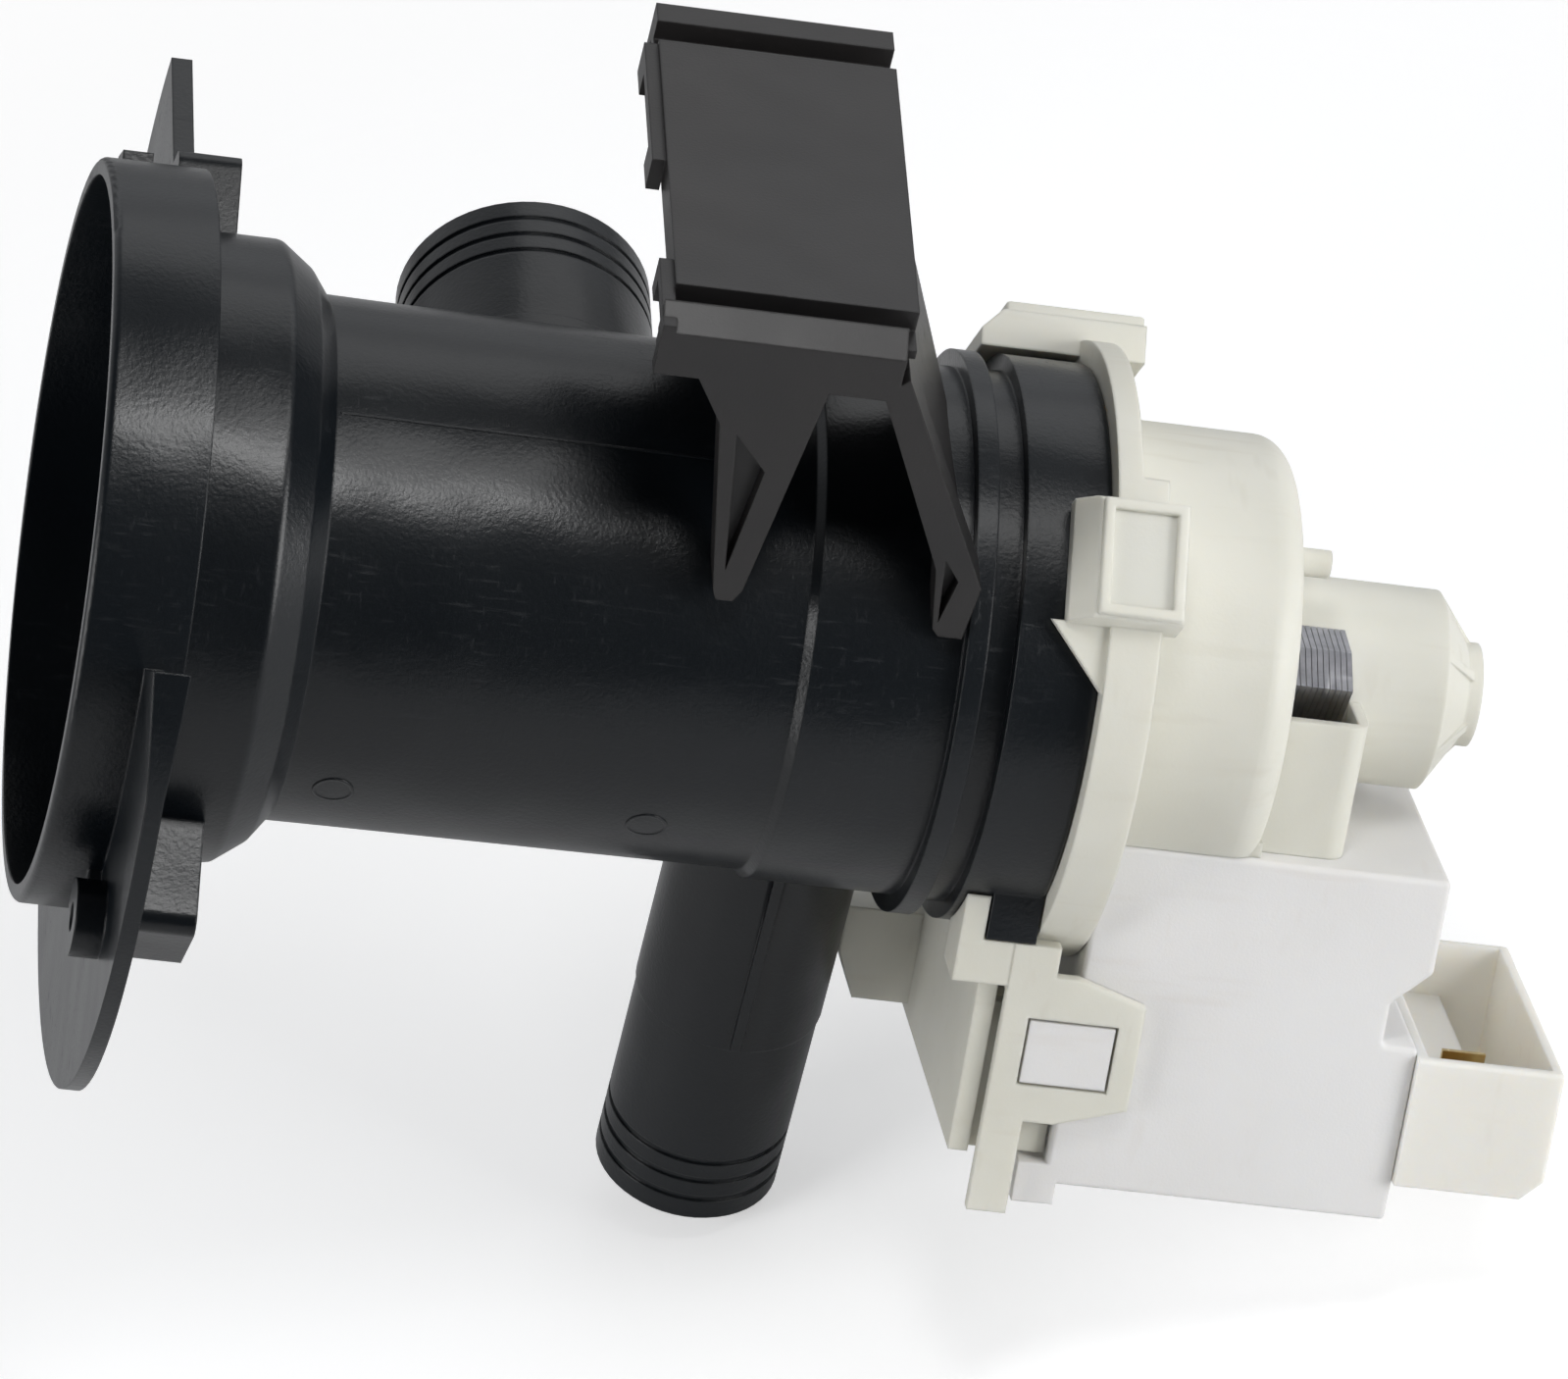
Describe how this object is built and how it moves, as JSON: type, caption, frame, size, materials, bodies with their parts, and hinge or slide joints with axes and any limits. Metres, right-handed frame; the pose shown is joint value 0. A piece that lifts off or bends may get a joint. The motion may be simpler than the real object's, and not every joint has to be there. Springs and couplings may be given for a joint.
{
  "type": "washer drain pump",
  "caption": "Washing machine drain pump: filter housing with hose nozzles, eared mouth and bracket, bayonet-locked pump head, motor with laminated core, rotor and free-play impeller.",
  "frame": {"origin": "centre of the filter mouth, in the plane of its rim", "axes": "+X along the main axis from the mouth to the motor, +Z away from the outlet nozzle's end, +Y along the inlet nozzle"},
  "size_m": [0.2193, 0.154, 0.1788],
  "materials": {
    "black_plastic": "satin moulded",
    "bracket_plastic": "fine matt",
    "cream_plastic": "satin moulded",
    "casing_plastic": "matt moulded",
    "connector_plastic": "satin moulded",
    "dark_plastic": "moulded",
    "bobbin_plastic": "moulded",
    "impeller_plastic": "moulded",
    "seal_rubber": "smooth",
    "core_steel": "punched edges",
    "rivet_steel": "plain",
    "shaft_steel": "ground",
    "fuse_shell": "plain",
    "wire_copper": "enamelled wire",
    "terminal_brass": "tinned",
    "ferrite": "ground",
    "bush_graphite": "ground"
  },
  "bodies": {
    "pump": {"filter_housing": "black_plastic", "support_bracket": "bracket_plastic", "pump_head": "cream_plastic", "volute_eye": "dark_plastic", "head_seal": "seal_rubber", "volute_plate": "dark_plastic", "bearing_holder": "seal_rubber", "front_bush": "bush_graphite", "rear_bush": "bush_graphite", "stator_core": "core_steel", "core_rivets": "rivet_steel", "bobbin_near": "bobbin_plastic", "bobbin_far": "bobbin_plastic", "winding_near": "wire_copper", "winding_far": "wire_copper", "thermal_fuse": "fuse_shell", "coil_casing": "casing_plastic", "casing_base": "casing_plastic", "terminal_housing": "connector_plastic", "terminals": "terminal_brass"},
    "rotor": {"rotor_shaft": "shaft_steel", "rotor_magnet": "ferrite", "rotor_sleeve": "shaft_steel", "rotor_core": "dark_plastic", "thrust_washer": "bobbin_plastic", "drive_dog": "dark_plastic"},
    "impeller": {"impeller": "impeller_plastic", "hub_cover": "impeller_plastic"}
  },
  "joints": [
    {"name": "rotor_spin", "type": "hinge", "parent": "pump", "child": "rotor", "pos_m": [0.15, 0, 0], "axis": [1, 0, 0], "continuous": true},
    {"name": "impeller_play", "type": "hinge", "parent": "rotor", "child": "impeller", "pos_m": [0.112, 0, 0], "axis": [1, 0, 0], "range_deg": [-189, 0]}
  ]
}
